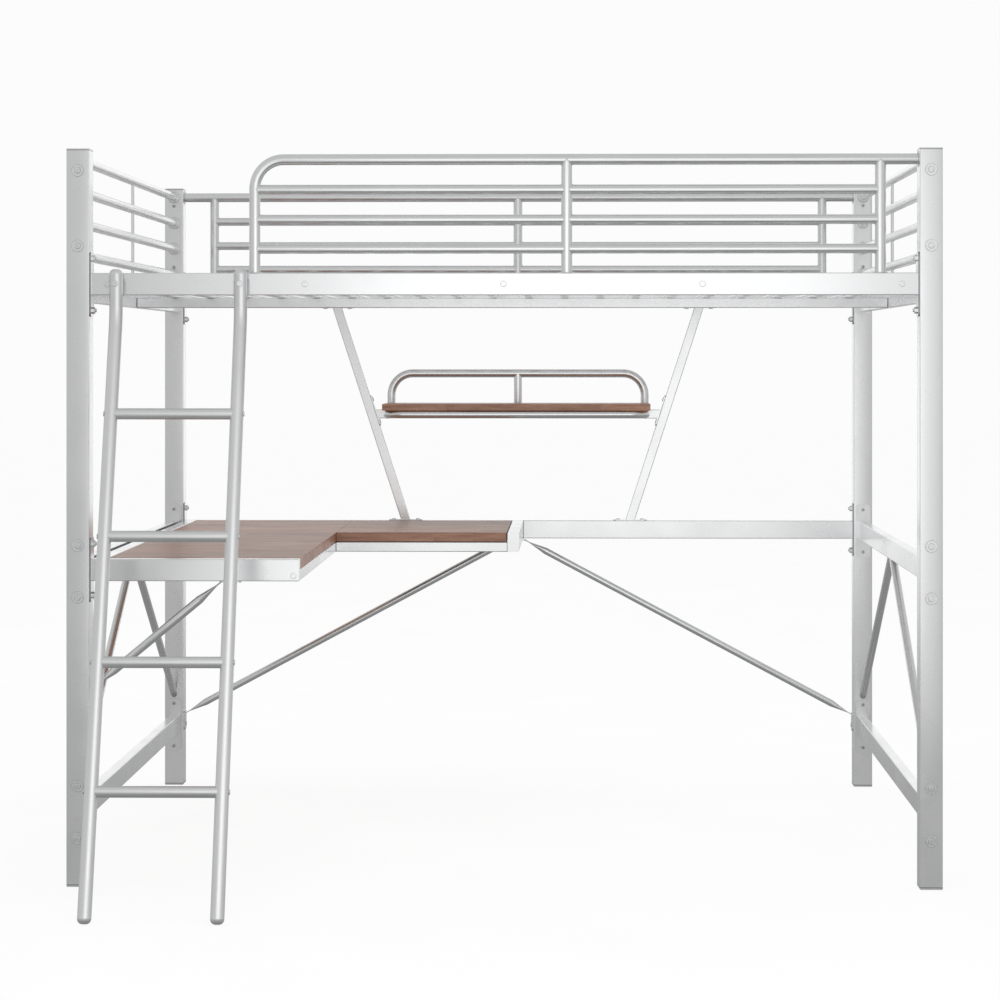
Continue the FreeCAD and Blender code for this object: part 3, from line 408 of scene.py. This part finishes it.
def floor_material():
    """Near-white studio floor: mostly even light, with a little shade where things stand on it."""
    material = bpy.data.materials.new("studio_floor")
    material.use_nodes = True
    nodes = Nodes(material.node_tree)
    cloud = nodes.noise(nodes.place(), FLOOR_CLOUD_SCALE)
    tone = nodes.fade(cloud, SMALL_PART_SPREAD, *map(grey, FLOOR_TONES))
    glow = nodes.add("ShaderNodeEmission", Strength=FLOOR_GLOW)
    nodes.link(tone, glow.inputs[0])
    matt = nodes.add("ShaderNodeBsdfDiffuse")
    nodes.link(tone, matt.inputs[0])
    blend = nodes.add("ShaderNodeMixShader", Fac=FLOOR_MATT_SHARE)
    nodes.link(glow.outputs[0], blend.inputs[1])
    nodes.link(matt.outputs[0], blend.inputs[2])
    output = nodes.add("ShaderNodeOutputMaterial")
    nodes.link(blend.outputs[0], output.inputs[0])
    return material


def inside_end(node, axis, end):
    """Place of a painted shade band just inside one end of a node's box."""
    return axis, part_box(node)[end][axis] + (SHADE_LINE_WIDTH / 2 if end == LOW else -SHADE_LINE_WIDTH / 2)


def special_finishes():
    """Materials of the nodes that show more than their slot's plain finish; several carry painted shade
    bands and edges.
    """
    # painted shade bands at the posts' top and bottom ends
    post_end_shade = ((Z, POST_HIGH[2] - SHADE_LINE_WIDTH / 2), (Z, POST_LOW[2] + SHADE_LINE_WIDTH / 2))
    posts = silver_paint("silver_powder_coat_posts", METALLIC, POST_ROUGH, joints=post_end_shade, crowned=True)
    ladder = silver_paint("silver_powder_coat_ladder", METALLIC, LADDER_ROUGH)
    end_plates = silver_paint("silver_powder_coat_end_plates", METALLIC, STEEL_ROUGH, edge_shade_axis=Y)
    side_plates = silver_paint("silver_powder_coat_side_plates", METALLIC, STEEL_ROUGH, edge_shade_axis=X)
    special = {
        "rail_end_plates": side_plates,
        "end_rail_plates": end_plates,
        "upper_end_plates": end_plates,
        "end_frame_bolts": zinc("zinc_plate_post_bolts", shaded_head_axis=Y),
    }
    for name in ("front_left_post", "front_right_post", "back_left_post", "back_right_post"):
        special[name] = posts
    for name in ("ladder_left_stile", "ladder_right_stile", "ladder_rungs", "ladder_end_caps"):
        special[name] = ladder

    # painted shade bands at both ends, where the beam and the apron meet their neighbours
    for name in ("centre_beam", "desk_front_apron"):
        end_shade = (inside_end(name, X, LOW), inside_end(name, X, HIGH))
        special[name] = silver_paint("silver_powder_coat_" + name, METALLIC, STEEL_ROUGH, joints=end_shade)
    # painted shade band on the back rail's front, beside the side rail
    shade_beside_side_rail = (X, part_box("desk_side_rail")[HIGH][X] + SHADE_LINE_WIDTH / 2)
    rail_middle_y = sum(corner[Y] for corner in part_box("desk_back_rail")) / 2
    special["desk_back_rail"] = silver_paint("silver_powder_coat_desk_back_rail", METALLIC, STEEL_ROUGH,
                                             joints=(shade_beside_side_rail,), front_of=rail_middle_y)
    # painted shade along the desktop's bottom edge and at its right end
    board_shade = (inside_end("main_desktop", Z, LOW), inside_end("main_desktop", X, HIGH))
    special["main_desktop"] = walnut("walnut_staves_main", joints=board_shade)
    return special


def assign_materials():
    slots = {part["node"]: part["material_slot"] for part in frame["record"]["subparts"]}
    finishes = {
        "silver_steel": silver_paint("silver_powder_coat", METALLIC, STEEL_ROUGH),
        "silver_cap": silver_paint("silver_cap_plastic", CAP_METALLIC, CAP_ROUGH),
        "zinc_fastener": zinc("zinc_plate"),
        "grey_plastic": moulded_plastic("grey_moulding"),
        "walnut_board": walnut("walnut_staves"),
    }
    special = special_finishes()
    for name, node in frame["nodes"].items():
        node.data.materials.clear()
        node.data.materials.append(special.get(name, finishes[slots[name]]))
    return finishes


# ---------------------------------------------------------------- weld beads

def join_path(centre, run, radius, host_axis=None):
    """Closed line where a tube along run meets a flat face, or the side of a guard tube along host_axis."""
    host_radius = 0.0 if host_axis is None else GUARD_TUBE
    aside = run.orthogonal() if host_axis is None else run.cross(host_axis)
    ahead = run.cross(aside) if host_axis is None else host_axis
    points = []
    for i in range(BEAD_STEPS):
        angle = 2 * math.pi * i / BEAD_STEPS
        across = radius * math.sin(angle)
        reach = math.sqrt(max(0.0, host_radius ** 2 - across ** 2))
        outward = ahead * math.cos(angle) + aside * math.sin(angle)
        points.append((centre + outward * radius + run * reach, outward))
    return points


def add_bead(mesh, path):
    """Rippled bead of weld metal laid along a closed line."""
    rings = []
    for i, (point, outward) in enumerate(path):
        tangent = (path[(i + 1) % BEAD_STEPS][0] - path[i - 1][0]).normalized()
        side = tangent.cross(outward).normalized()
        outward = side.cross(tangent)
        ripple = RIPPLE * math.sin(i * RIPPLE_TURN) + random.uniform(-RIPPLE_NOISE, RIPPLE_NOISE)
        size = BEAD * (1.0 + ripple)
        turns = [2 * math.pi * k / BEAD_SIDES for k in range(BEAD_SIDES)]
        rings.append([mesh.verts.new(point + (outward * math.cos(turn) + side * math.sin(turn)) * size)
                      for turn in turns])
    for i in range(BEAD_STEPS):
        for k in range(BEAD_SIDES):
            following = (k + 1) % BEAD_SIDES
            mesh.faces.new((rings[i - 1][k], rings[i - 1][following], rings[i][following], rings[i][k]))


def guard_joints(y, rail_z, uprights, capped):
    """Joints of one long guard: uprights on the bed rail, capped ones under the top tube, and bars."""
    paths = [join_path(Vector((x, y, rail_z)), UP, GUARD_TUBE) for x in uprights]
    paths += [join_path(Vector((x, y, GUARD_TOP_Z)), -UP, GUARD_TUBE, EAST) for x in capped]
    for z in GUARD_BAR_Z:
        for left, right in zip(uprights, uprights[1:]):
            paths.append(join_path(Vector((left, y, z)), EAST, GUARD_BAR, UP))
            paths.append(join_path(Vector((right, y, z)), -EAST, GUARD_BAR, UP))
    return paths


def weld_beads(finish):
    rail_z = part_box("front_bed_rail")[HIGH][Z]
    inner_x = -POST_HIGH[0]
    front_y, back_y = MID_Y - POST_AXIS_Y, MID_Y + POST_AXIS_Y
    paths = guard_joints(front_y, rail_z, FRONT_UPRIGHT_X, FRONT_UPRIGHT_X[1:])
    paths += guard_joints(back_y, rail_z, BACK_UPRIGHT_X, BACK_UPRIGHT_X)
    paths.append(join_path(Vector((inner_x, front_y, GUARD_TOP_Z)), -EAST, GUARD_TUBE))
    paths.append(join_path(Vector((inner_x, back_y, GUARD_TOP_Z)), -EAST, GUARD_TUBE))
    paths.append(join_path(Vector((-inner_x, back_y, GUARD_TOP_Z)), EAST, GUARD_TUBE))
    for x in (-POST_AXIS_X, POST_AXIS_X):
        for z in END_BAR_Z:
            paths.append(join_path(Vector((x, FRONT_Y + PLATE_FACE, z)), NORTH, GUARD_BAR))
            paths.append(join_path(Vector((x, BACK_Y - PLATE_FACE, z)), -NORTH, GUARD_BAR))
    mesh = bmesh.new()
    for path in paths:
        add_bead(mesh, path)
    bmesh.ops.recalc_face_normals(mesh, faces=mesh.faces)
    for face in mesh.faces:
        face.smooth = True
    data = bpy.data.meshes.new("guard_weld_beads")
    mesh.to_mesh(data)
    mesh.free()
    piece = bpy.data.objects.new("guard_weld_beads", data)
    bpy.context.scene.collection.objects.link(piece)
    data.materials.append(finish)
    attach(piece, "root")


# ---------------------------------------------------------------- stage

def studio_world():
    """Grey studio, dark below and pale behind; the camera sees it as plain white."""
    world = bpy.data.worlds.new("studio")
    bpy.context.scene.world = world
    world.use_nodes = True
    nodes = Nodes(world.node_tree)
    _, north, up = nodes.split(nodes.add("ShaderNodeTexCoord").outputs["Generated"])
    height = nodes.math("ADD", nodes.math("MULTIPLY", up, 0.5), 0.5)
    walls = nodes.ramp(height, [(place, grey(tone)) for place, tone in WALL_TONES])
    behind = nodes.ramp(north, [(place, grey(share)) for place, share in BACK_NORTH])
    above = nodes.ramp(height, [(place, grey(share)) for place, share in BACK_HEIGHT])
    tone = nodes.mix(nodes.math("MULTIPLY", behind, above), walls, grey(BACK_TONE))

    path = nodes.add("ShaderNodeLightPath")
    seen = nodes.mix(path.outputs["Is Camera Ray"], tone, grey(WHITE))
    background = nodes.add("ShaderNodeBackground", Strength=1.0)
    nodes.link(seen, background.inputs[0])
    output = nodes.add("ShaderNodeOutputWorld")
    nodes.link(background.outputs[0], output.inputs[0])


def studio_floor():
    mesh = bpy.data.meshes.new("studio_floor")
    corners = [(-FLOOR_HALF, -FLOOR_HALF, 0), (FLOOR_HALF, -FLOOR_HALF, 0),
               (FLOOR_HALF, FLOOR_HALF, 0), (-FLOOR_HALF, FLOOR_HALF, 0)]
    mesh.from_pydata(corners, [], [(0, 1, 2, 3)])
    mesh.materials.append(floor_material())
    floor = bpy.data.objects.new("studio_floor", mesh)
    floor.location.z = -FLOOR_DROP
    floor.visible_glossy = False
    bpy.context.scene.collection.objects.link(floor)


def soft_light(name, place, aim, size, power, in_gloss=True):
    light = bpy.data.lights.new(name, "AREA")
    light.shape = "RECTANGLE"
    light.size, light.size_y = size
    light.energy = power
    lamp = bpy.data.objects.new(name, light)
    lamp.location = place
    lamp.rotation_euler = (Vector(aim) - Vector(place)).to_track_quat("-Z", "Y").to_euler()
    lamp.visible_camera = False
    lamp.visible_glossy = in_gloss
    bpy.context.scene.collection.objects.link(lamp)


def front_card(name, place, size, power, in_gloss=True):
    """Card that faces the bed squarely."""
    x, y, z = place
    soft_light(name, place, (x, y + 1.0, z), size, power, in_gloss)


def lights():
    front_card("front_softbox", CARD_AT, CARD_SIZE, CARD_POWER)
    front_card("front_halo", CARD_AT, HALO_SIZE, HALO_POWER)
    front_card("low_softbox", LOW_CARD_AT, LOW_CARD_SIZE, LOW_CARD_POWER)
    front_card("front_fill", CARD_AT, HALO_SIZE, FILL_POWER, in_gloss=False)
    soft_light("top_softbox", TOP_AT, TOP_AIM, TOP_SIZE, TOP_POWER, in_gloss=False)


def camera():
    data = bpy.data.cameras.new("camera")
    data.lens = CAMERA_LENS
    data.sensor_width = CAMERA_SENSOR
    data.shift_x, data.shift_y = CAMERA_SHIFT
    data.clip_end = CAMERA_REACH
    eye = bpy.data.objects.new("camera", data)
    eye.location = CAMERA_PLACE
    eye.rotation_euler = (math.radians(90.0), 0.0, CAMERA_YAW)
    bpy.context.scene.collection.objects.link(eye)
    bpy.context.scene.camera = eye


bpy.context.scene.view_settings.view_transform = "Standard"
finishes = assign_materials()
weld_beads(finishes["silver_steel"])
studio_world()
studio_floor()
lights()
camera()
